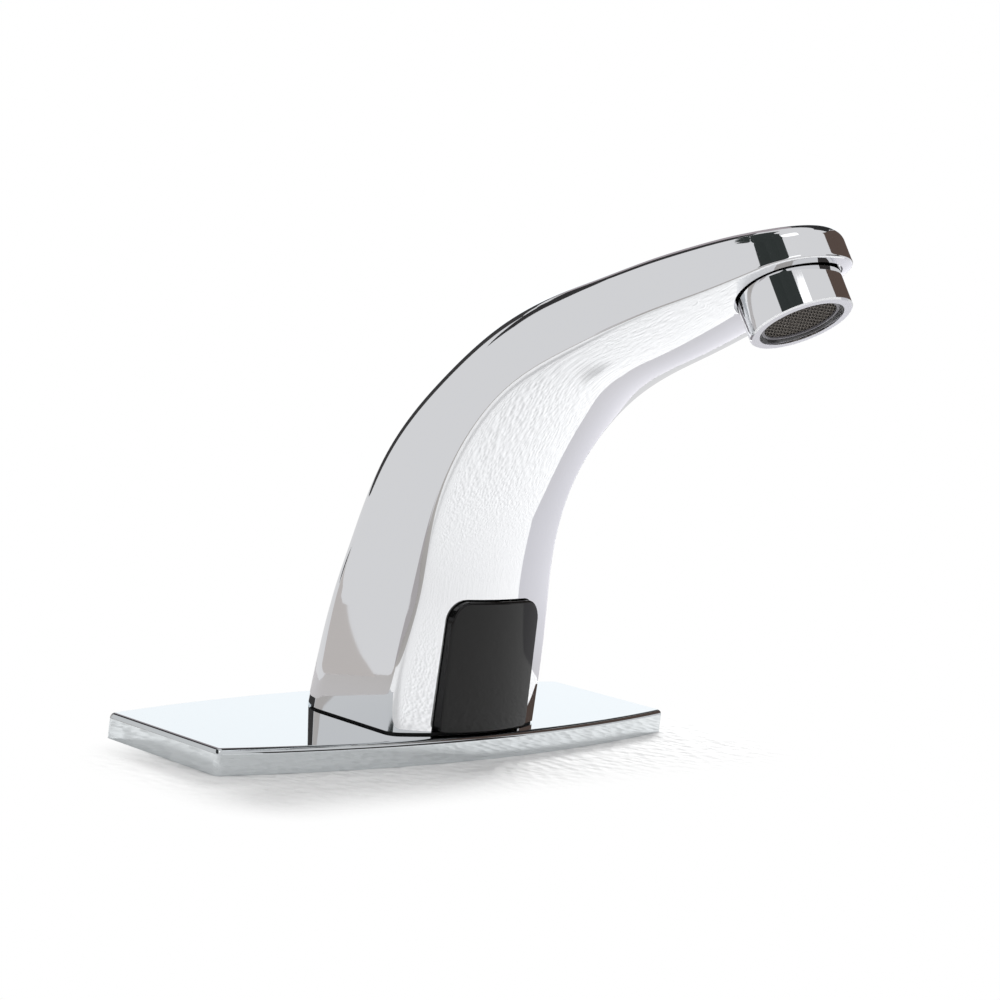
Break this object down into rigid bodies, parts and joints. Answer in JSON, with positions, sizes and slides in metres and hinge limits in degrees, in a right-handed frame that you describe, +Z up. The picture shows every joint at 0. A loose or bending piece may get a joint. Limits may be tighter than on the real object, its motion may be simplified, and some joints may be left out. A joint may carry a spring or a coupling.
{
  "type": "touchless basin tap",
  "caption": "Deck-mounted touchless tap: curved hollow spout on a bowed deck plate, sensor window at the foot, screw-in aerator at the tip, threaded shank with lock nut below.",
  "frame": {"origin": "on the shank's axis at the underside of the deck plate, where it rests on the deck", "axes": "+Z up out of the deck, X along the deck plate, spout points to -Y"},
  "size_m": [0.16, 0.1443, 0.1949],
  "materials": {
    "chrome_body": "polished",
    "chrome_plate": "polished",
    "chrome_aerator": "polished",
    "black_window": "high gloss",
    "black_plastic": "matte",
    "grey_plastic": "matte",
    "white_plastic": "matte",
    "black_rubber": "matte",
    "grey_foam": "matte",
    "brass": "machined",
    "copper": "drawn tube",
    "steel": "zinc plated",
    "mesh_steel": "woven",
    "board_green": "lacquered",
    "dark_eye": "gloss",
    "red_led": "gloss"
  },
  "bodies": {
    "tap": {"spout_body": "chrome_body", "deck_plate": "chrome_plate", "plate_gasket": "grey_foam", "body_gasket": "black_rubber", "threaded_shank": "brass", "water_tube": "copper", "lower_tube_seal": "black_rubber", "upper_tube_seal": "black_rubber", "cable_grommet": "black_rubber", "sensor_window": "black_window", "window_gasket": "black_rubber", "sensor_housing": "black_plastic", "sensor_board": "board_green", "ir_emitter": "dark_eye", "ir_receiver": "dark_eye", "status_led": "red_led", "light_baffle": "black_plastic", "sensor_screws": "steel"},
    "aerator_carrier": {"aerator_washer": "black_rubber"},
    "aerator": {"aerator_housing": "chrome_aerator", "aerator_cartridge": "black_plastic", "mesh_ring": "grey_plastic", "aerator_mesh": "mesh_steel", "flow_disc": "white_plastic", "inlet_screen": "white_plastic"},
    "washers": {"rubber_washer": "black_rubber", "clamp_washer": "steel"},
    "nut": {"lock_nut": "brass"}
  },
  "joints": [
    {"name": "aerator_travel", "type": "slide", "parent": "tap", "child": "aerator_carrier", "axis": [0, -0.5446, -0.8387], "range_m": [0, 0.004]},
    {"name": "aerator_turn", "type": "hinge", "parent": "aerator_carrier", "child": "aerator", "pos_m": [0, -0.10118, 0.12238], "axis": [0, -0.5446, -0.8387], "range_deg": [0, 1440]},
    {"name": "nut_travel", "type": "slide", "parent": "tap", "child": "washers", "axis": [0, 0, -1], "range_m": [-0.017, 0.017]},
    {"name": "nut_turn", "type": "hinge", "parent": "washers", "child": "nut", "pos_m": [0, 0, -0.029], "axis": [0, 0, -1], "range_deg": [-3370, 3370]}
  ],
  "couplings": [
    {"joint": "aerator_travel", "follows": "aerator_turn", "m_per_rad": 0.00015915},
    {"joint": "nut_travel", "follows": "nut_turn", "m_per_rad": 0.00028871}
  ]
}
